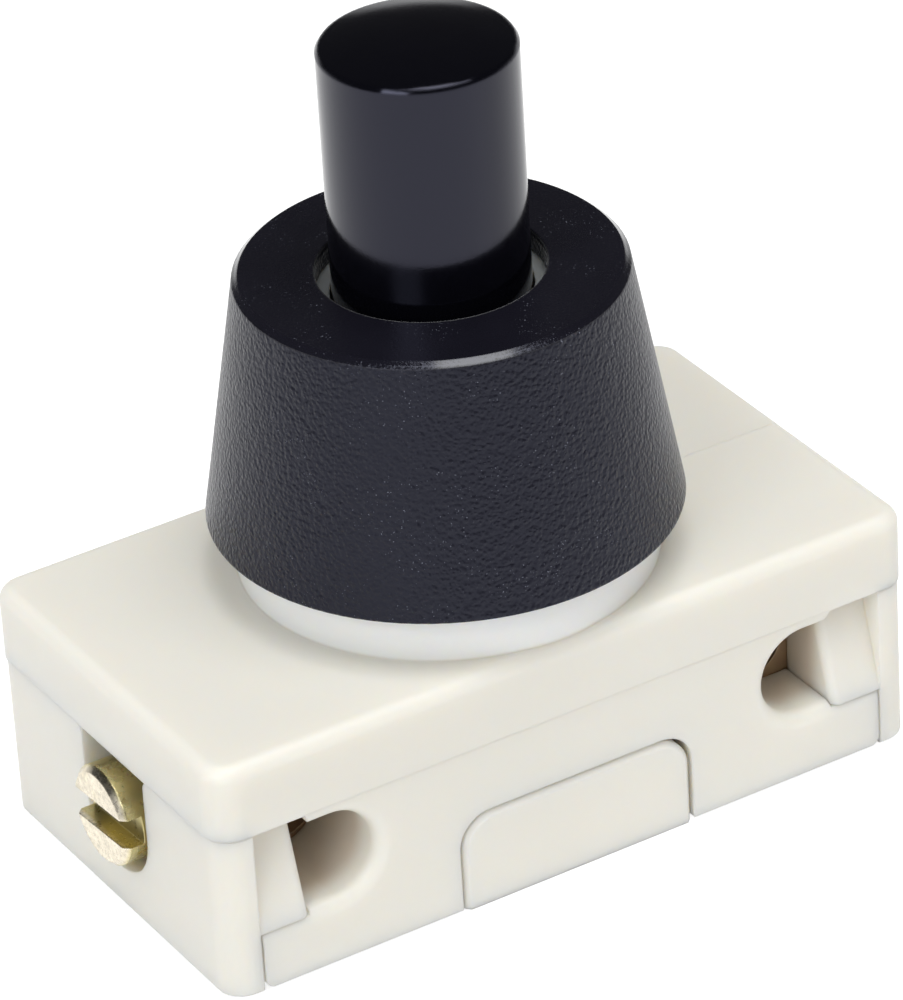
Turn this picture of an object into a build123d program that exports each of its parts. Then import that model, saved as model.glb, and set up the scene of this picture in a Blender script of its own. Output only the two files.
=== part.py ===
from build123d import *
from math import atan2, cos, degrees, radians, sin
import os

# Push-button switch for a lamp: a two-part housing with screw terminals, a threaded
# neck with a conical ring nut, and a push button that turns a contact star.
# Millimetres. The origin is the middle of the housing's underside, +Z runs along
# the button, +X towards the right end and -Y towards the front long side.

# Housing
length = 32.8
width = 18.0
height = 10.7
corner_radius = 1.2
top_edge_radius = 0.6
skirt_depth = 3.25
top_plate = 1.5
side_wall = 1.4
end_wall = 1.4
joint_gap = 0.05
base_inset = 0.1
base_edge_radius = 0.2
post_length = 1.5
post_gap = 0.1
wall_lift = 0.1
wall_inset = 0.05
wall_end_radius = 0.4
floor_thickness = 1.2
floor_gap = 0.1
bead_radius = 0.25
bead_gap = 0.05
bead_length = 2.4
step_depth = 0.17
step_run = 0.3

# Collar, threaded neck and ring nut
collar_radius = 8.6
collar_height = 2.45
neck_wall = 0.55
neck_length = 9.7
neck_lip = 1.2
neck_edge = 0.2
nut_height = 10.7
nut_bottom_radius = 9.7
nut_top_radius = 7.9
nut_hole_radius = 4.65
nut_lip = 0.9
nut_edge = 0.22
nut_shell = 1.5
nut_sleeve = 1.3
nut_pocket_depth = 8.0
nut_ribs = 6
nut_rib_width = 1.0
thread_gap = 0.04

# Push button
button_radius = 4.0
button_above_nut = 9.8
button_dome = 0.55
button_edge = 0.14
button_guide_gap = 0.08
stem_radius = 4.34
stem_gap = 0.06
stem_bore_radius = 3.25
spring_seat_height = 19.0
core_bore_radius = 1.7
button_roof = 2.4
travel = 4.0

# Cam crowns of the button stem and the rotor
cam_teeth = 4
cam_tooth_angle = 38.0
cam_turn = 45.0
cam_inner_radius = 3.3
cam_gap = 0.15
cam_end_gap = 0.3
cam_run_out = 6.0
key_width = 1.2
key_height = 0.76
key_root = 0.4
key_length = 3.0
key_gap = 0.1
guide_wall = 1.1
guide_drop = 2.1

# Rotor and contact star
spigot_radius = 1.0
spigot_height = 6.4
spigot_boss_radius = 2.2
spigot_boss_height = 0.75
pivot_gap = 0.05
rotor_flange_radius = 4.3
rotor_flange = 0.7
rotor_square = 3.2
rotor_square_radius = 0.3
rotor_hub_radius = 2.0
rotor_hub_height = 1.2
star_thickness = 0.4
star_hub_radius = 3.7
star_arm_width = 1.9
star_reach = 5.7
star_gap = 0.05
moving_contact_radius = 0.8
moving_contact_height = 0.3
rivet_shank_radius = 0.45
contact_gap = 0.1
contact_chamfer = 0.1

# Return spring and its washer
spring_wire = 0.4
spring_mean_radius = 2.6
spring_turns = 7
spring_end_gap = 0.02
washer_thickness = 0.3
washer_inner_radius = 2.1
washer_outer_radius = 3.1

# Terminals
block_length = 5.2
block_depth = 9.7
block_height = 5.2
block_inset = 2.6
block_shift = 0.7
block_chamfer = 0.2
wire_hole_radius = 1.4
wire_hole_from_inner_face = 2.2
strip_thickness = 0.5
strip_width = 3.0
strip_end_inset = 0.3
strip_corner_radius = 0.5
strip_reach = 3.6
contact_offset = 4.7
fixed_contact_radius = 1.1
fixed_contact_height = 0.4
screw_height = 4.6
screw_offset = 0.4
screw_head_radius = 2.15
screw_head_length = 1.5
screw_proud = 0.7
screw_head_chamfer = 0.25
screw_shank_radius = 1.45
screw_tip_gap = 0.1
slot_width = 1.25
slot_depth = 0.85
slot_tilt = -4.0

# Screw windows, wire openings with their channels and guide blocks, and closing tabs
window_radius = 2.45
window_floor = 1.95
window_corner_radius = 0.5
opening_radius = 1.95
opening_top = 6.8
opening_centre_inset = 5.2
opening_edge_radius = 0.6
opening_shoulder_inset = 3.95
opening_shoulder_slant = 0.3
channel_wall = 1.0
guide_face_inset = 3.9
guide_face_top_recess = 1.35
guide_edge_radius = 0.4
guide_sill_height = 2.65
guide_sill_gap = 0.07
tab_half_length = 5.4
tab_height = 4.25
tab_corner_radius = 1.5
tab_gap = 0.15
tab_root = 0.5
tab_chamfer = 0.2
rib_thickness = 0.9
rib_gap = 0.05

# Worked-out places
skirt_z = height - skirt_depth
plate_z = height - top_plate
collar_top = height + collar_height
neck_top = collar_top + neck_length
lip_z = neck_top - neck_lip
nut_top = collar_top + nut_height
rim_z = nut_top + button_above_nut
inner_half_length = length / 2 - end_wall
inner_half_width = width / 2 - side_wall
base_half_length = length / 2 - base_inset
post_x = base_half_length - post_length
wall_half_length = post_x - post_gap
wall_y = width / 2 - wall_inset
floor_half_width = inner_half_width - floor_gap

bore_radius = stem_radius + stem_gap
neck_radius = bore_radius + neck_wall
stem_top = lip_z - stem_gap
guide_z = plate_z - guide_drop
key_groove_radius = stem_radius + key_height + key_gap
guide_radius = key_groove_radius + guide_wall

boss_z = floor_thickness + spigot_boss_height
rotor_z = boss_z + pivot_gap
strip_top = floor_thickness + strip_thickness
contact_z = strip_top + fixed_contact_height
moving_contact_z = contact_z + contact_gap
star_z = moving_contact_z + moving_contact_height
flange_z = star_z + star_thickness
flange_top = flange_z + rotor_flange
washer_top = flange_top + washer_thickness

cam_slope = travel / cam_turn
cam_rise = cam_slope * cam_tooth_angle
cam_pitch = cam_slope * 360
cam_outer_radius = rotor_flange_radius
button_tip = flange_top + cam_end_gap + travel
rotor_tip = button_tip - cam_gap
crown_root = rotor_tip + cam_rise + travel + cam_end_gap
key_bottom = button_tip + cam_slope * cam_tooth_angle / 2
key_top = key_bottom + key_length

block_x = length / 2 - block_inset - block_length / 2
block_z = strip_top
wire_hole_x = block_x - block_length / 2 + wire_hole_from_inner_face
screw_face_x = length / 2 + screw_proud
screw_shoulder_x = screw_face_x - screw_head_length
screw_tip_x = wire_hole_x + wire_hole_radius + screw_tip_gap
window_z = window_floor + window_radius
opening_x = length / 2 - opening_centre_inset
opening_z = opening_top - opening_radius
sill_z = opening_z - opening_radius
shoulder_x = length / 2 - opening_shoulder_inset
guide_face_x = length / 2 - guide_face_inset
guide_block_z = guide_sill_height + guide_sill_gap
channel_x = opening_x - opening_radius - channel_wall
base_top = skirt_z - joint_gap
bead_x = (tab_half_length + opening_x - opening_radius) / 2
bead_z = floor_thickness / 2

ends = {"left": -1, "right": 1}
corners = [(-1, -1), (-1, 1), (1, -1), (1, 1)]
os.makedirs("parts", exist_ok=True)


def channel_end(sign_x, sign_y):
    """How far a wire channel reaches in from one long side, up to its terminal block."""
    return block_depth / 2 - sign_x * sign_y * block_shift + rib_gap


# Cover: top plate, skirt, long side walls, collar and neck in one moulding
with BuildPart() as cover:
    with BuildSketch(Plane.XY.offset(skirt_z)):
        RectangleRounded(length, width, corner_radius)
    extrude(amount=skirt_depth)
    fillet(cover.faces().sort_by(Axis.Z)[-1].edges(), top_edge_radius)
    with BuildSketch(Plane.XY.offset(wall_lift)):
        with GridLocations(0, inner_half_width + wall_y, 1, 2):
            Rectangle(2 * wall_half_length, wall_y - inner_half_width)
    extrude(amount=skirt_z - wall_lift)
    fillet(cover.edges().filter_by(Axis.Y).group_by(Axis.Z)[0], wall_end_radius)
    with BuildSketch(Plane.XY.offset(skirt_z)):
        Rectangle(2 * inner_half_length, 2 * inner_half_width)
    extrude(amount=plate_z - skirt_z, mode=Mode.SUBTRACT)
    # the rear half of the right wing lies a little lower, with a rounded step
    with BuildSketch(Plane.YZ) as step_profile:
        with BuildLine():
            step_foot = (step_run, height - step_depth)
            step_arc = (step_run**2 + step_depth**2) / (2 * step_depth)
            RadiusArc((0, height), step_foot, step_arc)
            Polyline(step_foot, (width, height - step_depth), (width, height + 1), (0, height + 1), (0, height))
        make_face()
    extrude(amount=length, mode=Mode.SUBTRACT)
    # collar and neck
    with BuildSketch(Plane.XY.offset(plate_z)):
        Circle(collar_radius)
    extrude(amount=collar_top - plate_z)
    with BuildSketch(Plane.XY.offset(collar_top)):
        Circle(neck_radius)
    extrude(amount=neck_length)
    # sleeve that guides the button's keys, below the top plate
    with BuildSketch(Plane.XY.offset(guide_z)):
        Circle(guide_radius)
    extrude(amount=guide_drop)
    with BuildSketch(Plane.XY.offset(guide_z)):
        Circle(bore_radius)
    extrude(amount=lip_z - guide_z, mode=Mode.SUBTRACT)
    with BuildSketch(Plane.XY.offset(lip_z)):
        Circle(button_radius + button_guide_gap)
    extrude(amount=neck_lip, mode=Mode.SUBTRACT)
    with BuildSketch(Plane.XY.offset(guide_z)):
        with PolarLocations(0, cam_teeth, start_angle=cam_tooth_angle / 2):
            with Locations((key_groove_radius / 2, 0)):
                Rectangle(key_groove_radius, key_width + 2 * key_gap)
    extrude(amount=key_top + key_gap - guide_z, mode=Mode.SUBTRACT)
    # shelves and walls of the wire channels, inside the long walls
    for sign_x, sign_y in corners:
        channel_y = channel_end(sign_x, sign_y)
        with BuildSketch(Plane.XY.offset(floor_thickness + floor_gap)):
            with Locations((sign_x * (channel_x + shoulder_x) / 2, sign_y * (channel_y + inner_half_width) / 2)):
                Rectangle(shoulder_x - channel_x, inner_half_width - channel_y)
        extrude(amount=skirt_z - floor_thickness - floor_gap)
    # wire openings and channels with rounded ends and flared mouths
    with BuildSketch(Plane.XZ) as opening_profile:
        for side in (-1, 1):
            with Locations((side * opening_x, opening_z)):
                Circle(opening_radius)
            with Locations((side * (opening_x + length / 2) / 2, opening_z)):
                Rectangle(length / 2 - opening_x, 2 * opening_radius)
    extrude(amount=width, both=True, mode=Mode.SUBTRACT)
    mouths = (
        cover.edges()
        .filter_by(GeomType.CIRCLE)
        .filter_by(lambda e: abs(e.radius - opening_radius) < 1e-3)
        .filter_by(lambda e: abs(abs(e.center().Y) - wall_y) < 1e-3)
    )
    fillet(mouths, opening_edge_radius)
    # past a small shoulder the openings make room for the guide blocks
    with BuildSketch(Plane.XZ) as shoulder_profile:
        for side in (-1, 1):
            Polygon(
                (side * shoulder_x, guide_sill_height),
                (side * (shoulder_x - opening_shoulder_slant), opening_top),
                (side * shoulder_x, skirt_z),
                (side * length / 2, skirt_z),
                (side * length / 2, guide_sill_height),
                align=None,
            )
    extrude(amount=width, both=True, mode=Mode.SUBTRACT)
    # notch that the base's tab closes, on both long sides
    with BuildSketch(Plane.XZ) as notch_profile:
        with BuildLine():
            notch_x = tab_half_length + tab_gap
            notch_z = tab_height + tab_gap
            FilletPolyline(
                (-notch_x, wall_lift - 1),
                (-notch_x, notch_z),
                (notch_x, notch_z),
                (notch_x, wall_lift - 1),
                radius=tab_corner_radius,
            )
            Line((notch_x, wall_lift - 1), (-notch_x, wall_lift - 1))
        make_face()
    extrude(amount=width, both=True, mode=Mode.SUBTRACT)
    # ribs that hold the terminal blocks down
    with BuildSketch(Plane.XY.offset(plate_z)):
        for side in (-1, 1):
            with Locations((side * block_x, -side * block_shift)):
                with GridLocations(0, block_depth + 2 * rib_gap - rib_thickness, 1, 2):
                    Rectangle(block_length, rib_thickness)
    extrude(amount=-(plate_z - block_z - block_height - rib_gap))
    # grooves for the beads on the floor's long edges
    with BuildSketch(Plane.YZ) as groove_profile:
        with Locations((-floor_half_width, bead_z), (floor_half_width, bead_z)):
            Circle(bead_radius + bead_gap)
    extrude(amount=wall_half_length, both=True, mode=Mode.SUBTRACT)
    neck_rim = cover.edges().filter_by(GeomType.CIRCLE).group_by(Axis.Z)[-1].sort_by(SortBy.RADIUS)[-1]
    chamfer(neck_rim, neck_edge)
cover.part.label = "cover"
export_step(cover.part, "parts/cover.step")


# Base: floor, end walls with screw windows, corner posts, guide blocks and tabs
with BuildPart() as base:
    with BuildSketch():
        RectangleRounded(2 * base_half_length, 2 * wall_y, corner_radius - base_inset)
    extrude(amount=base_top)
    fillet(base.faces().sort_by(Axis.Z)[0].edges(), base_edge_radius)
    with BuildSketch(Plane.XY.offset(floor_thickness)):
        Rectangle(2 * post_x, 2 * width)
    extrude(amount=height, mode=Mode.SUBTRACT)
    with BuildSketch():
        with GridLocations(0, 2 * (floor_half_width + width), 1, 2):
            Rectangle(2 * post_x, 2 * width)
    extrude(amount=floor_thickness, mode=Mode.SUBTRACT)
    # U-shaped windows for the screw heads
    for side in (-1, 1):
        with BuildSketch(Plane.YZ):
            with Locations((side * screw_offset, window_z)):
                Circle(window_radius)
            with Locations((side * screw_offset, (window_z + height) / 2)):
                Rectangle(2 * window_radius, height - window_z)
        extrude(amount=side * length, mode=Mode.SUBTRACT)
    window_corners = base.edges().filter_by(Axis.X).filter_by(lambda e: abs(e.center().Y) < width / 4)
    fillet(window_corners.group_by(Axis.Z)[-1], window_corner_radius)
    # guide blocks in the wire openings, with a slanted outer face
    for sign_x, sign_y in corners:
        guide_y = channel_end(sign_x, sign_y)
        with BuildSketch(Plane.XY.offset(floor_thickness)):
            with Locations((sign_x * (guide_face_x + post_x) / 2, sign_y * (guide_y + floor_half_width) / 2)):
                Rectangle(post_x - guide_face_x, floor_half_width - guide_y)
        extrude(amount=base_top - floor_thickness)
        with BuildSketch(Plane.YZ.offset(sign_x * guide_face_x)):
            Polygon(
                (sign_y * wall_y, guide_block_z),
                (sign_y * (wall_y - guide_face_top_recess), base_top),
                (sign_y * (floor_half_width - channel_wall), base_top),
                (sign_y * (floor_half_width - channel_wall), guide_block_z),
                align=None,
            )
        extrude(amount=sign_x * (post_x - guide_face_x))
    guide_edges = (
        base.edges()
        .filter_by(lambda e: abs(abs(e.center().X) - guide_face_x) < 1e-3)
        .filter_by(lambda e: abs(e.center().Y) > floor_half_width)
        .filter_by(lambda e: e.length > (base_top - guide_block_z))
    )
    fillet(guide_edges, guide_edge_radius)
    # tabs that close the cover's notches
    for sign_y in (-1, 1):
        with BuildSketch(Plane.XZ.offset(-sign_y * width / 2)):
            with BuildLine():
                FilletPolyline(
                    (-tab_half_length, 0),
                    (-tab_half_length, tab_height),
                    (tab_half_length, tab_height),
                    (tab_half_length, 0),
                    radius=tab_corner_radius,
                )
                Line((tab_half_length, 0), (-tab_half_length, 0))
            make_face()
        extrude(amount=sign_y * (width / 2 - floor_half_width + tab_root))
    tab_edges = (
        base.edges()
        .filter_by(lambda e: abs(abs(e.center().Y) - width / 2) < 1e-3)
        .filter_by(lambda e: e.center().Z > floor_thickness)
    )
    chamfer(tab_edges, tab_chamfer)
    # beads that hold the cover
    with BuildSketch(Plane.YZ) as bead_profile:
        with Locations((-floor_half_width, bead_z), (floor_half_width, bead_z)):
            Circle(bead_radius)
    for sign_x in (-1, 1):
        extrude(bead_profile.sketch.moved(Location((sign_x * bead_x, 0, 0))), amount=bead_length / 2, both=True)
    # spigot and boss that carry the rotor
    with BuildSketch(Plane.XY.offset(floor_thickness)):
        Circle(spigot_boss_radius)
    extrude(amount=spigot_boss_height)
    with BuildSketch(Plane.XY.offset(boss_z)):
        Circle(spigot_radius)
    extrude(amount=spigot_height)
base.part.label = "base"
export_step(base.part, "parts/base.step")


# Ring nut: conical shell, threaded sleeve and ribs, open underneath
with BuildPart() as ring_nut:
    with BuildSketch(Plane.XZ):
        with BuildLine():
            Polyline(
                (0, collar_top),
                (nut_bottom_radius, collar_top),
                (nut_top_radius, nut_top),
                (0, nut_top),
                (0, collar_top),
            )
        make_face()
    revolve(axis=Axis.Z)
    chamfer(ring_nut.edges().filter_by(GeomType.CIRCLE).sort_by(Axis.Z)[-1], nut_edge)
    thread_radius = neck_radius + thread_gap
    cone_slope = (nut_bottom_radius - nut_top_radius) / nut_height
    with BuildSketch(Plane.XY.offset(collar_top)):
        Circle(nut_bottom_radius - nut_shell)
        Circle(thread_radius + nut_sleeve, mode=Mode.SUBTRACT)
        with PolarLocations(0, nut_ribs):
            with Locations((nut_bottom_radius / 2, 0)):
                Rectangle(nut_bottom_radius, nut_rib_width, mode=Mode.SUBTRACT)
    extrude(amount=nut_pocket_depth, taper=degrees(atan2(cone_slope, 1)), mode=Mode.SUBTRACT)
    with BuildSketch(Plane.XY.offset(collar_top)):
        Circle(thread_radius)
    extrude(amount=nut_height - nut_lip, mode=Mode.SUBTRACT)
    with BuildSketch(Plane.XY.offset(collar_top)):
        Circle(nut_hole_radius)
    extrude(amount=nut_height, mode=Mode.SUBTRACT)
ring_nut.part.label = "ring_nut"
export_step(ring_nut.part, "parts/ring_nut.step")


def sector(inner, outer, start, size):
    """A flat ring sector from one angle, over another, as a sketch."""
    with BuildSketch(mode=Mode.PRIVATE) as piece:
        with BuildLine():
            first = (cos(radians(start)), sin(radians(start)))
            last = (cos(radians(start + size)), sin(radians(start + size)))
            Line((inner * first[0], inner * first[1]), (outer * first[0], outer * first[1]))
            CenterArc((0, 0), outer, start, size)
            Line((outer * last[0], outer * last[1]), (inner * last[0], inner * last[1]))
            CenterArc((0, 0), inner, start, size)
        make_face()
    return piece.sketch


def helical_cutter(start_z, side):
    """A block swept along the cam's helix, above it for side 1 and below it for side -1."""
    depth = cam_rise + travel
    with BuildPart(mode=Mode.PRIVATE) as cutter:
        with BuildLine() as path:
            Helix(cam_pitch, cam_slope * (cam_tooth_angle + 2 * cam_run_out), cam_outer_radius)
        with BuildSketch(Plane.XZ):
            with Locations((cam_outer_radius, side * depth / 2)):
                Rectangle(2 * cam_outer_radius - cam_inner_radius, depth)
        sweep(path=path.line, is_frenet=True)
    low = start_z - cam_slope * cam_run_out
    return cutter.part.moved(Location((0, 0, low), (0, 0, 1), -cam_run_out))


# Push button: domed cap, guide stem and a crown of four helical teeth
with BuildPart() as push_button:
    with BuildSketch(Plane.XZ):
        with BuildLine():
            Polyline(
                (0, crown_root),
                (stem_radius, crown_root),
                (stem_radius, stem_top),
                (button_radius, stem_top),
                (button_radius, rim_z),
            )
            dome_radius = (button_radius**2 + button_dome**2) / (2 * button_dome)
            RadiusArc((button_radius, rim_z), (0, rim_z + button_dome), -dome_radius)
            Line((0, rim_z + button_dome), (0, crown_root))
        make_face()
    revolve(axis=Axis.Z)
    rim = (
        push_button.edges()
        .filter_by(GeomType.CIRCLE)
        .filter_by(lambda e: abs(e.radius - button_radius) < 1e-3)
        .sort_by(Axis.Z)[-1]
    )
    chamfer(rim, button_edge)
    with BuildSketch(Plane.XY.offset(button_tip)):
        for tooth in range(cam_teeth):
            add(sector(stem_bore_radius, stem_radius, tooth * 360 / cam_teeth, cam_tooth_angle))
    extrude(amount=crown_root - button_tip)
    with BuildSketch(Plane.XY.offset(key_bottom)):
        with PolarLocations(0, cam_teeth, start_angle=cam_tooth_angle / 2):
            with Locations((stem_radius + (key_height - key_root) / 2, 0)):
                Rectangle(key_height + key_root, key_width)
    extrude(amount=key_length)
    with BuildSketch(Plane.XY.offset(button_tip)):
        Circle(stem_bore_radius)
    extrude(amount=spring_seat_height - button_tip, mode=Mode.SUBTRACT)
    with BuildSketch(Plane.XY.offset(spring_seat_height)):
        Circle(core_bore_radius)
    extrude(amount=rim_z - button_roof - spring_seat_height, mode=Mode.SUBTRACT)
    with PolarLocations(0, cam_teeth):
        add(helical_cutter(button_tip, -1), mode=Mode.SUBTRACT)
push_button.part.label = "push_button"
export_step(push_button.part, "parts/push_button.step")


# Rotor: square drive for the star, flange, hub and a crown of four helical teeth
with BuildPart() as rotor:
    with BuildSketch(Plane.XY.offset(rotor_z)):
        RectangleRounded(rotor_square, rotor_square, rotor_square_radius)
    extrude(amount=flange_z - rotor_z)
    with BuildSketch(Plane.XY.offset(flange_z)):
        Circle(rotor_flange_radius)
    extrude(amount=rotor_flange)
    with BuildSketch(Plane.XY.offset(flange_top)):
        Circle(rotor_hub_radius)
    extrude(amount=rotor_hub_height)
    with BuildSketch(Plane.XY.offset(flange_top)):
        for tooth in range(cam_teeth):
            add(sector(cam_inner_radius, cam_outer_radius, tooth * 360 / cam_teeth, cam_tooth_angle))
    extrude(amount=rotor_tip + cam_rise - flange_top)
    with PolarLocations(0, cam_teeth):
        add(helical_cutter(rotor_tip, 1), mode=Mode.SUBTRACT)
    with BuildSketch(Plane.XY.offset(rotor_z)):
        Circle(spigot_radius + pivot_gap)
    extrude(amount=height, mode=Mode.SUBTRACT)
rotor.part.label = "rotor"
export_step(rotor.part, "parts/rotor.step")


# Contact star: four spring arms, turned 45 degrees away from the fixed contacts
with BuildPart() as contact_star:
    with BuildSketch(Plane.XY.offset(star_z)):
        Circle(star_hub_radius)
        with PolarLocations(0, 2, start_angle=cam_turn):
            SlotOverall(2 * star_reach, star_arm_width)
        with PolarLocations(0, 2, start_angle=cam_turn + 90):
            SlotOverall(2 * star_reach, star_arm_width)
        Rectangle(rotor_square + 2 * star_gap, rotor_square + 2 * star_gap, mode=Mode.SUBTRACT)
        with PolarLocations(contact_offset, cam_teeth, start_angle=cam_turn):
            Circle(rivet_shank_radius, mode=Mode.SUBTRACT)
    extrude(amount=star_thickness)
contact_star.part.label = "contact_star"
export_step(contact_star.part, "parts/contact_star.step")

# Moving contacts: one rivet in each arm of the star
for number in range(cam_teeth):
    with BuildPart() as moving_contact:
        angle = radians(cam_turn + number * 360 / cam_teeth)
        place = (contact_offset * cos(angle), contact_offset * sin(angle))
        with BuildSketch(Plane.XY.offset(moving_contact_z)):
            with Locations(place):
                Circle(moving_contact_radius)
        extrude(amount=moving_contact_height)
        with BuildSketch(Plane.XY.offset(star_z)):
            with Locations(place):
                Circle(rivet_shank_radius)
        extrude(amount=star_thickness)
        chamfer(moving_contact.edges().group_by(Axis.Z)[0], contact_chamfer)
    moving_contact.part.label = f"moving_contact_{number + 1}"
    export_step(moving_contact.part, f"parts/moving_contact_{number + 1}.step")


# Washer under the return spring
with BuildPart() as spring_washer:
    with BuildSketch(Plane.XY.offset(flange_top)):
        Circle(washer_outer_radius)
        Circle(washer_inner_radius, mode=Mode.SUBTRACT)
    extrude(amount=washer_thickness)
spring_washer.part.label = "spring_washer"
export_step(spring_washer.part, "parts/spring_washer.step")


# Return spring between the washer and the seat inside the button
with BuildPart() as return_spring:
    spring_low = washer_top + spring_wire / 2 + spring_end_gap
    spring_high = spring_seat_height - spring_wire / 2 - spring_end_gap
    with BuildLine() as coil:
        Helix(
            (spring_high - spring_low) / spring_turns,
            spring_high - spring_low,
            spring_mean_radius,
            center=(0, 0, spring_low),
        )
    with BuildSketch(Plane(origin=coil.line @ 0, z_dir=coil.line % 0)):
        RegularPolygon(spring_wire / 2, 6)
    sweep(path=coil.line, is_frenet=True)
return_spring.part.label = "return_spring"
export_step(return_spring.part, "parts/return_spring.step")


for name, side in ends.items():
    # Terminal block with a wire hole and a tapped hole
    with BuildPart() as terminal_block:
        with BuildSketch(Plane.XY.offset(block_z)):
            with Locations((side * block_x, -side * block_shift)):
                Rectangle(block_length, block_depth)
        extrude(amount=block_height)
        chamfer(terminal_block.edges(), block_chamfer)
        with BuildSketch(Plane.XZ):
            with Locations((side * wire_hole_x, screw_height)):
                Circle(wire_hole_radius)
        extrude(amount=block_depth, both=True, mode=Mode.SUBTRACT)
        with BuildSketch(Plane.YZ.offset(side * wire_hole_x)):
            with Locations((side * screw_offset, screw_height)):
                Circle(screw_shank_radius + pivot_gap)
        extrude(amount=side * block_length, mode=Mode.SUBTRACT)
    terminal_block.part.label = f"terminal_block_{name}"
    export_step(terminal_block.part, f"parts/terminal_block_{name}.step")

    # Slotted terminal screw
    with BuildPart() as terminal_screw:
        with BuildSketch(Plane.YZ.offset(side * screw_shoulder_x)):
            with Locations((side * screw_offset, screw_height)):
                Circle(screw_head_radius)
        extrude(amount=side * screw_head_length)
        chamfer(terminal_screw.faces().sort_by(Axis.X)[-1 if side > 0 else 0].edges(), screw_head_chamfer)
        with BuildSketch(Plane.YZ.offset(side * screw_shoulder_x)):
            with Locations((side * screw_offset, screw_height)):
                Circle(screw_shank_radius)
        extrude(amount=-side * (screw_shoulder_x - screw_tip_x))
        with BuildSketch(Plane.YZ.offset(side * screw_face_x)):
            with Locations(Location((side * screw_offset, screw_height), slot_tilt)):
                Rectangle(2 * screw_head_radius + slot_width, slot_width)
        extrude(amount=-side * slot_depth, mode=Mode.SUBTRACT)
    terminal_screw.part.label = f"terminal_screw_{name}"
    export_step(terminal_screw.part, f"parts/terminal_screw_{name}.step")

    # Contact strip from the terminal to the fixed contact
    with BuildPart() as contact_strip:
        strip_outer_x = block_x + block_length / 2 - strip_end_inset
        with BuildSketch(Plane.XY.offset(floor_thickness)):
            with Locations((side * (strip_outer_x + strip_reach) / 2, 0)):
                RectangleRounded(strip_outer_x - strip_reach, strip_width, strip_corner_radius)
            with Locations((side * contact_offset, 0)):
                Circle(rivet_shank_radius, mode=Mode.SUBTRACT)
        extrude(amount=strip_thickness)
    contact_strip.part.label = f"contact_strip_{name}"
    export_step(contact_strip.part, f"parts/contact_strip_{name}.step")

    # Fixed contact rivet
    with BuildPart() as fixed_contact:
        with BuildSketch(Plane.XY.offset(strip_top)):
            with Locations((side * contact_offset, 0)):
                Circle(fixed_contact_radius)
        extrude(amount=fixed_contact_height)
        chamfer(fixed_contact.edges().group_by(Axis.Z)[-1], contact_chamfer)
        with BuildSketch(Plane.XY.offset(floor_thickness)):
            with Locations((side * contact_offset, 0)):
                Circle(rivet_shank_radius)
        extrude(amount=strip_thickness)
    fixed_contact.part.label = f"fixed_contact_{name}"
    export_step(fixed_contact.part, f"parts/fixed_contact_{name}.step")
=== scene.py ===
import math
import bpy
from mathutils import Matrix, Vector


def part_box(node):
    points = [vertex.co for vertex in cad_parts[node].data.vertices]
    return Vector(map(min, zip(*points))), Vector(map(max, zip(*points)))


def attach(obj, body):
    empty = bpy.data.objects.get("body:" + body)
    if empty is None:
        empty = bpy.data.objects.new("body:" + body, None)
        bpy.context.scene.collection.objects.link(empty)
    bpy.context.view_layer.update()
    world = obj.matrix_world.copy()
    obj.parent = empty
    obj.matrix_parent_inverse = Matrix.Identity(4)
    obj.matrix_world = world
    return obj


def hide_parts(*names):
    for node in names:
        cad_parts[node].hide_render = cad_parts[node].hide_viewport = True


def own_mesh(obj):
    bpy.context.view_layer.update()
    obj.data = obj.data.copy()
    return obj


bl_info = {
    "name": "Push-button lamp switch",
    "version": (1, 0, 0),
    "blender": (4, 5, 0),
    "location": "3D View > Sidebar > Lamp switch",
    "description": "Finishes, return spring and studio for a push-button lamp switch",
    "category": "Object",
}

import bmesh
import bpy
from mathutils import Matrix, Vector

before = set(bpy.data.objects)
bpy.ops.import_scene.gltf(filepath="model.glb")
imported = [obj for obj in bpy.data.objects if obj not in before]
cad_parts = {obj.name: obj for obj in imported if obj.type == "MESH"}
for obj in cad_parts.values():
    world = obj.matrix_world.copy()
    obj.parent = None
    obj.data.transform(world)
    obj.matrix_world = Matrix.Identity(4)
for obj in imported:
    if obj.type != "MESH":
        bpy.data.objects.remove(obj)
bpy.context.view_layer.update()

MM = 0.001
COVER_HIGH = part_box("cover")[1] / MM
NUT_LOW, NUT_HIGH = (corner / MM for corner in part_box("ring_nut"))
BLOCK_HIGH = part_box("terminal_block_left")[1] / MM
SCREW_LOW, SCREW_HIGH = (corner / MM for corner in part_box("terminal_screw_left"))
SPRING_LOW, SPRING_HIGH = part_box("return_spring")

# The collar, and how far inside the long sides and the screws' faces the chambers lie, in millimetres

COLLAR_RADIUS = 8.6
CHAMBER_FROM_SIDE = 1.4
CHAMBER_FROM_SCREW = 2.2
SKIRT_ABOVE_BLOCK = 0.55

# The camera, in millimetres and degrees

CAMERA_PLACE = Vector((-116.885, -201.740, 154.513))
CAMERA_AZIMUTH = -30.1429
CAMERA_ELEVATION = 31.2766
CAMERA_ROLL = -3.6188

# The softboxes, in metres

AIM = Vector((0, 0, 0.012))
OVERHEAD_PLACE = Vector((0.07, -0.15, 0.80))
OVERHEAD_SIZE = 0.50
KEY_PLACE = Vector((-0.62, -0.38, 0.47))
KEY_SIZE = 0.42
FRONT_PLACE = Vector((0.45, -0.70, 0.32))
FRONT_SIZE = 0.55


# Node trees


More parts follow.
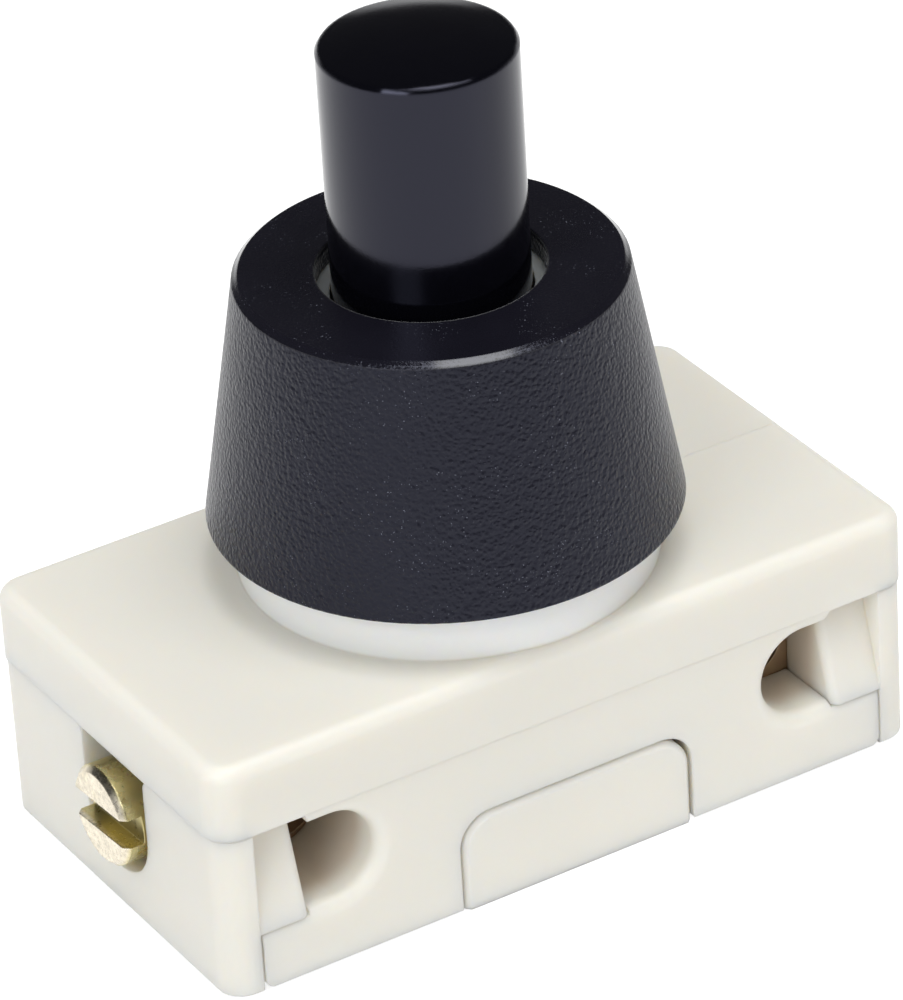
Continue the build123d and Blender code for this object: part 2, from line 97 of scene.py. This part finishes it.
class Value:
    """A number socket that takes Python's operators, each of which adds a Math node."""

    def __init__(self, finish, socket):
        self.finish = finish
        self.socket = socket

    def maths(self, operation, *values):
        node = self.finish.node("ShaderNodeMath", {"operation": operation}, dict(enumerate(values)))
        return Value(self.finish, node.outputs[0])

    def __add__(self, other):
        return self.maths("ADD", self, other)

    def __radd__(self, other):
        return self.maths("ADD", other, self)

    def __sub__(self, other):
        return self.maths("SUBTRACT", self, other)

    def __rsub__(self, other):
        return self.maths("SUBTRACT", other, self)

    def __mul__(self, other):
        return self.maths("MULTIPLY", self, other)

    def __rmul__(self, other):
        return self.maths("MULTIPLY", other, self)

    def __truediv__(self, other):
        return self.maths("DIVIDE", self, other)

    def __rtruediv__(self, other):
        return self.maths("DIVIDE", other, self)

    def step(self, low, high):
        """0 at low, 1 at high and a smooth change between them, whichever of the two is larger."""
        settings = {"interpolation_type": "SMOOTHSTEP"}
        inputs = {"Value": self, "From Min": low, "From Max": high}
        return self.finish.value("ShaderNodeMapRange", settings, inputs)

    def spread(self, amount):
        """Noise from 0 to 1 as a change of up to half of amount either way."""
        return (self - 0.5) * amount

    def sine(self):
        return self.maths("SINE", self)

    def root(self):
        return self.maths("SQRT", self)

    def size(self):
        return self.maths("ABSOLUTE", self)


class Finish:
    """A node tree that is built one node at a time."""

    def __init__(self, tree):
        self.tree = tree
        tree.nodes.clear()

    def node(self, kind, settings=None, inputs=None):
        """A node of a kind, with its settings and then its sockets' values or links."""
        node = self.tree.nodes.new(kind)
        for name, value in (settings or {}).items():
            setattr(node, name, value)
        for name, value in (inputs or {}).items():
            self.put(node.inputs[name], value)
        return node

    def put(self, target, value):
        if isinstance(value, Value):
            value = value.socket
        if isinstance(value, bpy.types.NodeSocket):
            self.tree.links.new(value, target)
        else:
            target.default_value = value

    def value(self, kind, settings=None, inputs=None):
        """The first output of a new node, as a number."""
        return Value(self, self.node(kind, settings, inputs).outputs[0])

    def place(self):
        """The object's own coordinates, in millimetres, as a vector socket."""
        here = self.node("ShaderNodeTexCoord").outputs["Object"]
        scaled = self.node("ShaderNodeVectorMath", {"operation": "SCALE"}, {0: here, "Scale": 1 / MM})
        return scaled.outputs[0]

    def axes(self, place):
        parts = self.node("ShaderNodeSeparateXYZ", None, {0: place})
        return [Value(self, socket) for socket in parts.outputs]

    def noise(self, place, size, detail=2.0, rough=0.5):
        """Noise from 0 to 1 whose lumps are about size millimetres across."""
        inputs = {"Vector": place, "Scale": 1 / size, "Detail": detail, "Roughness": rough}
        return self.value("ShaderNodeTexNoise", {"noise_dimensions": "3D"}, inputs)

    def blend(self, factor, first, second):
        """A colour between two colours."""
        inputs = {0: factor, 6: first, 7: second}
        return self.node("ShaderNodeMix", {"data_type": "RGBA"}, inputs).outputs[2]

    def bump(self, height, depth, strength, normal):
        """A normal from a height of 0 to 1 that stands for depth millimetres, on top of a normal."""
        inputs = {"Height": height, "Distance": depth * MM, "Strength": strength, "Normal": normal}
        return self.node("ShaderNodeBump", None, inputs).outputs[0]

    def soft_edges(self, radius):
        """A normal that rounds sharp edges off by radius millimetres."""
        return self.node("ShaderNodeBevel", {"samples": 6}, {"Radius": radius * MM}).outputs[0]


def distance(first, second):
    """The length of two steps at right angles."""
    return (first * first + second * second).root()


def new_material(name):
    material = bpy.data.materials.new(name)
    material.use_nodes = True
    return material, Finish(material.node_tree)


def surface(finish, inputs):
    """The material's shader, with the inputs that differ from its defaults."""
    shader = finish.node("ShaderNodeBsdfPrincipled", None, inputs)
    finish.node("ShaderNodeOutputMaterial", None, {"Surface": shader.outputs[0]})


def paint(names, material):
    """Gives CAD nodes a finish in place of the one they came with."""
    for name in names:
        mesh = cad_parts[name].data
        mesh.materials.clear()
        mesh.materials.append(material)


def shade(colour, factor=1.0):
    """A colour made lighter or darker, with its alpha."""
    return (colour[0] * factor, colour[1] * factor, colour[2] * factor, 1.0)


# Sizes and colours that a user would change


def colour_setting(name, description, default):
    return bpy.props.FloatVectorProperty(
        name=name, description=description, subtype="COLOR", size=3, min=0, max=1, default=default,
    )


def number_setting(name, description, default, low=0, high=1):
    return bpy.props.FloatProperty(name=name, description=description, default=default, min=low, max=high)


def power_setting(name, description, default):
    return bpy.props.FloatProperty(
        name=name, description=description, subtype="POWER", unit="POWER", default=default, min=0,
    )


def distance_setting(name, description, default):
    return bpy.props.FloatProperty(
        name=name, description=description, subtype="DISTANCE", unit="LENGTH", default=default, min=0,
    )


class CreamSettings(bpy.types.PropertyGroup):
    colour: colour_setting("Colour", "Colour of the moulded housing", (0.84, 0.815, 0.745))
    # Painted light: the collar colour is a whiter copy of the body colour that lifts the collar out of the
    # shade under the nut
    collar: colour_setting("Collar", "Colour of the collar and neck", (0.95, 0.955, 0.91))
    # Painted shade: the neck colour is a dark grey that stands in for the shade on the neck's end inside the
    # nut
    neck: colour_setting("Neck", "Colour of the neck's end inside the nut", (0.28, 0.29, 0.29))
    # Painted shade: the inside colour is a darker, browner body colour that stands in for the shade in the
    # wire channels and chambers
    inside: colour_setting("Inside", "Colour of the housing's inside", (0.74, 0.66, 0.55))
    collar_height: number_setting("Collar height", "Height below the nut, in millimetres", 2.45, high=10)
    roughness: number_setting("Roughness", "Roughness of the satin surface", 0.38)
    pore: number_setting("Texture size", "Size of the satin texture, in millimetres", 0.07, low=0.01)
    edge: number_setting("Edge", "Rounding of the moulded edges, in millimetres", 0.14)


class NutSettings(bpy.types.PropertyGroup):
    colour: colour_setting("Colour", "Colour of the nut", (0.0070, 0.0066, 0.0115))
    tint: colour_setting("Sheen tint", "Tint of the nut's reflections", (0.75, 0.79, 1.0))
    # Dust and painted sparkle: light specks that stand for dust grains and for their tiny glints on the nut
    dust_and_sparkle: colour_setting("Dust", "Colour of the specks on the nut", (0.20, 0.21, 0.26))
    roughness: number_setting("Roughness", "Roughness of the grained side", 0.37)
    grain: number_setting("Grain size", "Size of the leather grain, in millimetres", 0.15, low=0.02)
    depth: number_setting("Grain depth", "Depth of the leather grain, in millimetres", 0.085, high=0.2)
    rim: number_setting("Rim", "Radius of the nut's top rim, in millimetres", 7.9, high=20)


class ButtonSettings(bpy.types.PropertyGroup):
    colour: colour_setting("Colour", "Colour of the button", (0.002, 0.002, 0.0035))
    tint: colour_setting("Sheen tint", "Tint of the button's reflections", (0.73, 0.74, 1.0))
    roughness: number_setting("Roughness", "Roughness of the polished plastic", 0.11)


class MetalSettings(bpy.types.PropertyGroup):
    brass: colour_setting("Brass", "Colour of the screws", (0.82, 0.745, 0.60))
    # Darker olive brass behind the screws' faces and in random stains
    olive_brass: colour_setting("Tarnish", "Colour of the screws behind their faces", (0.62, 0.54, 0.25))
    # Painted shade: the block colour is brass darkened to brown, standing in for the deep shade inside the
    # housing
    block: colour_setting("Block", "Colour of the terminal blocks and strips", (0.56, 0.43, 0.30))
    bronze: colour_setting("Bronze", "Colour of the contact star", (0.74, 0.43, 0.21))
    silver: colour_setting("Silver", "Colour of the contact rivets", (0.83, 0.82, 0.79))
    steel: colour_setting("Steel", "Colour of the spring and washer", (0.52, 0.52, 0.53))


class SpringSettings(bpy.types.PropertyGroup):
    wire: distance_setting("Wire", "Diameter of the wire", 0.4 * MM)
    turns: bpy.props.IntProperty(name="Turns", description="Number of open turns", default=9, min=2, max=30)
    closed: number_setting("Closed turns", "Turns that lie flat at each end", 1.0, high=3)
    facets: bpy.props.IntProperty(name="Facets", description="Steps in each turn", default=40, min=8, max=96)
    sides: bpy.props.IntProperty(name="Sides", description="Sides of the wire", default=12, min=6, max=32)


class StudioSettings(bpy.types.PropertyGroup):
    fill: number_setting("Fill", "Even light from all round", 0.44, high=2)
    overhead: power_setting("Overhead", "Power of the softbox above", 3.5)
    key: power_setting("Key", "Power of the softbox at the upper left", 2.45)
    front: power_setting("Front", "Power of the weak fill at the front right", 0.38)
    floor: distance_setting("Floor size", "Width of the floor", 4.0)
    focal: number_setting("Focal length", "Focal length, in millimetres", 243.59, low=10, high=1000)


SETTINGS = {
    "switch_cream": CreamSettings,
    "switch_nut": NutSettings,
    "switch_button": ButtonSettings,
    "switch_metal": MetalSettings,
    "switch_spring": SpringSettings,
    "switch_studio": StudioSettings,
}


# Plastics


class HousingFinish(bpy.types.Operator):
    """Gives the cover and the base their satin cream plastic"""

    bl_idname = "lamp_switch.housing"
    bl_label = "Housing"

    def execute(self, context):
        look = context.scene.switch_cream
        material, finish = new_material("cream_plastic")
        place = finish.place()
        axes = finish.axes(place)
        cloud = finish.noise(place, size=9.0)
        mottle = finish.noise(place, size=1.1, detail=3.0)
        body = finish.blend(cloud, shade(look.colour, 0.985), shade(look.colour, 1.012))
        body = finish.blend(mottle * 0.35, body, shade(look.colour, 0.975))
        # Painted light: the collar and neck get the whiter collar colour in place of the body colour
        colour = finish.blend(self.collar_painted_light(axes, look.collar_height), body, shade(look.collar))
        # Painted shade: the wire channels and chambers get the darker, browner inside colour
        colour = finish.blend(self.chamber_painted_shade(axes), colour, shade(look.inside))
        # Painted shade: the neck's end inside the nut is darkened to stand in for its shade
        neck_end_shade = axes[2].step(COVER_HIGH.z - 1.0, COVER_HIGH.z - 0.4)
        colour = finish.blend(neck_end_shade, colour, shade(look.neck))
        pores = finish.noise(place, size=look.pore, detail=3.0, rough=0.6)
        waves = finish.noise(place, size=2.4, detail=1.0)
        normal = finish.bump(pores, 0.004, 0.5, finish.soft_edges(look.edge))
        normal = finish.bump(waves, 0.01, 0.4, normal)
        surface(finish, {
            "Base Color": colour,
            "Roughness": look.roughness + mottle.spread(0.16) + pores.spread(0.1),
            "IOR": 1.5,
            "Normal": normal,
            "Subsurface Weight": 0.7,
            "Subsurface Radius": (1.0, 0.85, 0.65),
            "Subsurface Scale": 1.5 * MM,
        })
        paint(["cover", "base"], material)
        return {"FINISHED"}

    def collar_painted_light(self, axes, height):
        """1 on the collar and the neck, which get the whiter collar colour as painted light against the
        shade under the nut.
        """
        x, y, z = axes
        low = NUT_LOW.z - height
        near = distance(x, y).step(COLLAR_RADIUS + 0.15, COLLAR_RADIUS + 0.05)
        return near * z.step(low - 0.05, low + 0.15)

    def chamber_painted_shade(self, axes):
        """1 in the wire channels and chambers, where the darker, browner inside colour paints their shade.
        """
        x, y, z = axes
        wall = COVER_HIGH.y - CHAMBER_FROM_SIDE
        end = -SCREW_LOW.x - CHAMBER_FROM_SCREW
        skirt = BLOCK_HIGH.z + SKIRT_ABOVE_BLOCK
        across = y.size().step(wall + 0.5, wall - 0.6) * x.size().step(end, end - 0.8)
        return across * z.step(skirt + 0.1, skirt - 0.3) * z.step(0.3, 1.3)


class NutFinish(bpy.types.Operator):
    """Gives the ring nut its black plastic with a leather grain on the cone"""

    bl_idname = "lamp_switch.nut"
    bl_label = "Ring nut"

    def execute(self, context):
        look = context.scene.switch_nut
        material, finish = new_material("black_grained_plastic")
        place = finish.place()
        x, y, z = finish.axes(place)
        top = NUT_HIGH.z
        on_cone = z.step(top - 0.1, top - 0.3)
        on_top = 1.0 - on_cone
        rim = distance(x, y).step(look.rim - 0.35, look.rim - 0.15) * z.step(top - 0.3, top - 0.15)
        patch = finish.noise(place, size=3.0)
        speckle = finish.noise(place, size=0.12, rough=0.6)
        height = self.leather(finish, place, look.grain) * on_cone + speckle * on_top * 0.12
        specks = finish.noise(place, size=0.085, detail=1.0).step(0.70, 0.77)
        clusters = finish.noise(place, size=2.3).step(0.48, 0.62)
        colour = finish.blend(patch, shade(look.colour, 0.85), shade(look.colour, 1.2))
        # Dust and painted sparkle: light specks of the dust colour in clusters over the nut
        colour = finish.blend(specks * clusters, colour, shade(look.dust_and_sparkle))
        rough = look.roughness * on_cone + (0.3 - rim * 0.19) * on_top
        surface(finish, {
            "Base Color": colour,
            "Roughness": rough + patch.spread(0.1) + speckle.spread(0.12),
            "IOR": 1.4,
            "Specular Tint": shade(look.tint),
            "Normal": finish.bump(height, look.depth, 1.0, finish.soft_edges(0.14)),
            "Sheen Weight": 0.3,
            "Sheen Roughness": 0.22,
            "Coat Weight": rim,
            "Coat Roughness": 0.1,
        })
        paint(["ring_nut"], material)
        return {"FINISHED"}

    def leather(self, finish, place, grain):
        """The height of a leather grain: rounded cells with warped edges, and finer wrinkles."""
        warp = finish.node("ShaderNodeTexNoise", {"noise_dimensions": "3D"}, {"Vector": place, "Scale": 3.0})
        warped = finish.node("ShaderNodeVectorMath", {"operation": "MULTIPLY_ADD"}, {
            0: warp.outputs["Color"],
            1: (grain, grain, grain),
            2: place,
        })
        cells = finish.value("ShaderNodeTexVoronoi", {"feature": "SMOOTH_F1"}, {
            "Vector": warped.outputs[0],
            "Scale": 0.8 / grain,
            "Smoothness": 0.6,
        })
        wrinkle = finish.noise(place, size=grain * 1.6, detail=3.0, rough=0.55)
        return (1.0 - cells) * 0.6 + wrinkle * 0.6


class ButtonFinish(bpy.types.Operator):
    """Gives the push button its polished black plastic"""

    bl_idname = "lamp_switch.button"
    bl_label = "Push button"

    def execute(self, context):
        look = context.scene.switch_button
        material, finish = new_material("black_gloss_plastic")
        place = finish.place()
        narrow = (6.0, 6.0, 0.7)
        along = finish.node("ShaderNodeVectorMath", {"operation": "MULTIPLY"}, {0: place, 1: narrow})
        streak = finish.noise(along.outputs[0], size=1.0, detail=3.0, rough=0.6)
        fine = finish.noise(place, size=0.15, rough=0.6)
        patch = finish.noise(place, size=2.2, detail=3.0, rough=0.6)
        normal = finish.bump(streak, 0.003, 0.4, finish.soft_edges(0.22))
        normal = finish.bump(fine, 0.0022, 0.5, normal)
        surface(finish, {
            "Base Color": finish.blend(patch, shade(look.colour, 0.8), shade(look.colour, 1.2)),
            "Roughness": look.roughness + patch.spread(0.12) + streak.spread(0.07),
            "IOR": 1.49,
            "Specular Tint": shade(look.tint),
            "Normal": normal,
        })
        paint(["push_button"], material)
        return {"FINISHED"}


def moulded_brown():
    """The rotor's brown plastic."""
    material, finish = new_material("brown_plastic")
    place = finish.place()
    cloud = finish.noise(place, size=1.4, detail=3.0, rough=0.6)
    speck = finish.noise(place, size=0.12, rough=0.6)
    surface(finish, {
        "Base Color": finish.blend(cloud, (0.16, 0.075, 0.04, 1.0), (0.24, 0.125, 0.07, 1.0)),
        "Roughness": 0.4 + speck.spread(0.2),
        "Normal": finish.bump(speck, 0.004, 0.4, finish.soft_edges(0.08)),
    })
    return material


# Metals


def turned_brass(colour, olive_brass):
    """Brass turned about the screws' axis, with fine rings on the face, and darker olive brass behind it and
    in random stains.
    """
    material, finish = new_material("brass_screw")
    place = finish.place()
    x, y, z = finish.axes(place)
    middle = (SCREW_LOW + SCREW_HIGH) / 2
    face = -SCREW_LOW.x
    ring_pitch = 0.22
    radius = distance(y - middle.y, z - middle.z)
    rings = (radius * (math.tau / ring_pitch)).sine() * 0.5 + 0.5
    scratch = finish.noise(place, size=0.25, detail=4.0, rough=0.65)
    stain = finish.noise(place, size=1.3, detail=3.0, rough=0.6).step(0.45, 0.75)
    behind = x.size().step(face - 0.1, face - 0.3)
    base = finish.blend(scratch.step(0.3, 0.7), shade(colour, 0.74), shade(colour, 1.1))
    # Darker olive brass behind the face, and in random stains
    base = finish.blend(behind * 0.85 + stain * 0.15, base, shade(olive_brass))
    surface(finish, {
        "Base Color": base,
        "Metallic": 1.0,
        "Roughness": 0.27 + scratch.spread(0.18) + stain * 0.12,
        "Normal": finish.bump(rings * 0.5 + scratch * 0.7, 0.006, 0.45, finish.soft_edges(0.08)),
    })
    return material


def worked_metal(name, colour, roughness, mark):
    """Rolled, struck or drawn metal with fine marks."""
    material, finish = new_material(name)
    place = finish.place()
    scratch = finish.noise(place, size=mark, detail=4.0, rough=0.65)
    cloud = finish.noise(place, size=1.6)
    surface(finish, {
        "Base Color": finish.blend(cloud, shade(colour, 0.88), shade(colour, 1.08)),
        "Metallic": 1.0,
        "Roughness": roughness + scratch.spread(0.2) + cloud.spread(0.1),
        "Normal": finish.bump(scratch, 0.004, 0.4, finish.soft_edges(0.05)),
    })
    return material


class TerminalFinish(bpy.types.Operator):
    """Gives the terminal blocks, their screws and the contact strips their brass"""

    bl_idname = "lamp_switch.terminals"
    bl_label = "Terminals"

    def execute(self, context):
        look = context.scene.switch_metal
        screw = turned_brass(look.brass, look.olive_brass)
        # Painted shade: the terminal blocks and strips get the darkened brown brass
        block = worked_metal("shaded_brass_block", look.block, 0.36, mark=0.3)
        for side in ("left", "right"):
            paint([f"terminal_screw_{side}"], screw)
            paint([f"terminal_block_{side}", f"contact_strip_{side}"], block)
        return {"FINISHED"}


class ContactFinish(bpy.types.Operator):
    """Gives the rotor, the contact star, the rivets and the washer their finishes"""

    bl_idname = "lamp_switch.contacts"
    bl_label = "Rotor and contacts"

    def execute(self, context):
        look = context.scene.switch_metal
        rivets = ["fixed_contact_left", "fixed_contact_right"]
        rivets += [f"moving_contact_{number}" for number in (1, 2, 3, 4)]
        paint(["contact_star"], worked_metal("spring_bronze", look.bronze, 0.3, mark=0.2))
        paint(["spring_washer"], worked_metal("zinc_plate", look.steel, 0.35, mark=0.2))
        paint(rivets, worked_metal("silver_contact", look.silver, 0.22, mark=0.15))
        paint(["rotor"], moulded_brown())
        return {"FINISHED"}


# Return spring


class ReturnSpring(bpy.types.Operator):
    """Winds the return spring from round wire, with closed ends"""

    bl_idname = "lamp_switch.spring"
    bl_label = "Return spring"

    def execute(self, context):
        look = context.scene.switch_spring
        mesh = self.wind(look)
        mesh.materials.append(worked_metal("drawn_wire", context.scene.switch_metal.steel, 0.28, mark=0.12))
        coil = bpy.data.objects.new("return_coil", mesh)
        context.scene.collection.objects.link(coil)
        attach(coil, "housing")
        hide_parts("return_spring")
        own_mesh(coil)
        return {"FINISHED"}

    def wind(self, look):
        """The coil's mesh: a round of wire that is spun up through its closed and open turns."""
        wire = look.wire
        radius = (SPRING_HIGH.x - SPRING_LOW.x) / 2 - wire / 2
        low = SPRING_LOW.z + wire / 2
        high = SPRING_HIGH.z - wire / 2
        closed_rise = look.closed * wire
        open_rise = high - low - 2 * closed_rise
        shape = bmesh.new()
        bmesh.ops.create_circle(shape, cap_ends=True, segments=look.sides, radius=wire / 2)
        bmesh.ops.rotate(shape, verts=shape.verts, matrix=Matrix.Rotation(math.pi / 2, 3, "X"))
        bmesh.ops.translate(shape, verts=shape.verts, vec=(radius, 0, low))
        turning = list(shape.verts) + list(shape.edges) + list(shape.faces)
        for turns, rise in ((look.closed, closed_rise), (look.turns, open_rise), (look.closed, closed_rise)):
            steps = round(turns * look.facets)
            spun = bmesh.ops.spin(
                shape, geom=turning, cent=(0, 0, 0), axis=(0, 0, 1), dvec=(0, 0, rise / steps),
                angle=math.tau * turns, steps=steps,
            )
            turning = spun["geom_last"]
        bmesh.ops.remove_doubles(shape, verts=shape.verts, dist=wire / 1000)
        bmesh.ops.recalc_face_normals(shape, faces=shape.faces)
        mesh = bpy.data.meshes.new("return_coil")
        shape.to_mesh(mesh)
        shape.free()
        mesh.shade_smooth()
        return mesh


# Studio


class Studio(bpy.types.Operator):
    """Makes the floor, the soft light, the world and the camera"""

    bl_idname = "lamp_switch.studio"
    bl_label = "Studio"

    def execute(self, context):
        look = context.scene.switch_studio
        self.make_floor(context, look)
        self.make_world(context, look)
        self.softbox(context, "overhead", OVERHEAD_PLACE, OVERHEAD_SIZE, look.overhead, (1.0, 1.0, 0.98))
        self.softbox(context, "key", KEY_PLACE, KEY_SIZE, look.key, (0.95, 0.97, 1.0))
        front = self.softbox(context, "front_fill", FRONT_PLACE, FRONT_SIZE, look.front, (1.0, 0.90, 0.89))
        front.visible_glossy = False
        self.make_camera(context, look)
        context.scene.view_settings.view_transform = "Standard"
        return {"FINISHED"}

    def make_floor(self, context, look):
        shape = bmesh.new()
        bmesh.ops.create_grid(shape, x_segments=2, y_segments=2, size=look.floor / 2)
        mesh = bpy.data.meshes.new("studio_floor")
        shape.to_mesh(mesh)
        shape.free()
        mesh.materials.append(self.paper())
        floor = bpy.data.objects.new("studio_floor", mesh)
        floor.location = (0, 0, -0.02 * MM)
        context.scene.collection.objects.link(floor)

    def paper(self):
        """White paper that looks plain white, keeps its shadow, and mirrors darker on the right."""
        material, finish = new_material("studio_paper")
        x, y, z = finish.axes(finish.place())
        rightward = x / (x * x + y * y + 1.0).root()
        rays = finish.node("ShaderNodeLightPath")
        mirrored = Value(finish, rays.outputs["Is Glossy Ray"]) * (1.0 - rightward.step(0.5, 0.95) * 0.45)
        seen = Value(finish, rays.outputs["Is Camera Ray"]) + mirrored
        white = finish.node("ShaderNodeBsdfDiffuse", None, {"Color": (0.86, 0.86, 0.86, 1.0)})
        glow = finish.node("ShaderNodeEmission", None, {"Color": (1.0, 1.0, 1.0, 1.0), "Strength": 1.6})
        shaders = {1: white.outputs[0], 2: glow.outputs[0]}
        lit = finish.node("ShaderNodeMixShader", None, {0: seen * 0.5, **shaders})
        finish.node("ShaderNodeOutputMaterial", None, {"Surface": lit.outputs[0]})
        return material

    def make_world(self, context, look):
        """Plain white for the camera, even light for the object, and a bright horizon in its gloss."""
        world = bpy.data.worlds.new("studio_world")
        world.use_nodes = True
        context.scene.world = world
        finish = Finish(world.node_tree)
        direction = finish.node("ShaderNodeTexCoord").outputs["Generated"]
        height = finish.axes(direction)[2]
        rays = finish.node("ShaderNodeLightPath")
        camera = Value(finish, rays.outputs["Is Camera Ray"])
        glossy = Value(finish, rays.outputs["Is Glossy Ray"])
        transmission = Value(finish, rays.outputs["Is Transmission Ray"])
        mirrored = glossy * (0.9 - height.step(0.02, 0.16) * 0.86) + transmission * 0.9
        plain = (1.0 - camera) * (1.0 - glossy) * (1.0 - transmission)
        strength = camera + (1.0 - camera) * mirrored + plain * look.fill
        white = (1.0, 1.0, 1.0, 1.0)
        sky = finish.node("ShaderNodeBackground", None, {"Color": white, "Strength": strength})
        finish.node("ShaderNodeOutputWorld", None, {"Surface": sky.outputs[0]})

    def softbox(self, context, name, place, size, power, colour):
        """A square lamp that faces the switch."""
        lamp = bpy.data.lights.new(name, "AREA")
        lamp.shape = "SQUARE"
        lamp.size = size
        lamp.energy = power
        lamp.color = colour
        holder = bpy.data.objects.new(name, lamp)
        holder.location = place
        holder.rotation_euler = (AIM - place).to_track_quat("-Z", "Y").to_euler()
        context.scene.collection.objects.link(holder)
        return holder

    def make_camera(self, context, look):
        """The photograph's view: its place, then its direction and roll."""
        data = bpy.data.cameras.new("camera")
        data.lens = look.focal
        data.sensor_width = 36.0
        data.clip_start = 0.01
        data.clip_end = 20.0
        camera = bpy.data.objects.new("camera", data)
        azimuth = math.radians(CAMERA_AZIMUTH)
        elevation = math.radians(CAMERA_ELEVATION)
        roll = math.radians(CAMERA_ROLL)
        level = Vector((math.cos(azimuth), math.sin(azimuth), 0))
        towards = Vector((math.sin(azimuth), -math.cos(azimuth), 0))
        back = towards * math.cos(elevation) + Vector((0, 0, math.sin(elevation)))
        upright = back.cross(level)
        right = level * math.cos(roll) + upright * math.sin(roll)
        up = upright * math.cos(roll) - level * math.sin(roll)
        place = Matrix((right, up, back)).transposed().to_4x4()
        place.translation = CAMERA_PLACE * MM
        camera.matrix_world = place
        context.scene.collection.objects.link(camera)
        context.scene.camera = camera


OPERATORS = (HousingFinish, NutFinish, ButtonFinish, TerminalFinish, ContactFinish, ReturnSpring, Studio)


class SwitchPanel(bpy.types.Panel):
    """Lists the switch's pieces and settings"""

    bl_idname = "VIEW3D_PT_lamp_switch"
    bl_label = "Lamp switch"
    bl_space_type = "VIEW_3D"
    bl_region_type = "UI"
    bl_category = "Lamp switch"

    def draw(self, context):
        layout = self.layout
        for operator in OPERATORS:
            layout.operator(operator.bl_idname)
        for name, group in SETTINGS.items():
            box = layout.box()
            for key in group.__annotations__:
                box.prop(getattr(context.scene, name), key)


def register():
    for name, group in SETTINGS.items():
        bpy.utils.register_class(group)
        setattr(bpy.types.Scene, name, bpy.props.PointerProperty(type=group))
    for operator in OPERATORS:
        bpy.utils.register_class(operator)
    bpy.utils.register_class(SwitchPanel)


def unregister():
    bpy.utils.unregister_class(SwitchPanel)
    for operator in reversed(OPERATORS):
        bpy.utils.unregister_class(operator)
    for name, group in reversed(list(SETTINGS.items())):
        delattr(bpy.types.Scene, name)
        bpy.utils.unregister_class(group)


def main():
    register()
    bpy.ops.lamp_switch.housing()
    bpy.ops.lamp_switch.nut()
    bpy.ops.lamp_switch.button()
    bpy.ops.lamp_switch.terminals()
    bpy.ops.lamp_switch.contacts()
    bpy.ops.lamp_switch.spring()
    bpy.ops.lamp_switch.studio()


if __name__ == "__main__":
    main()
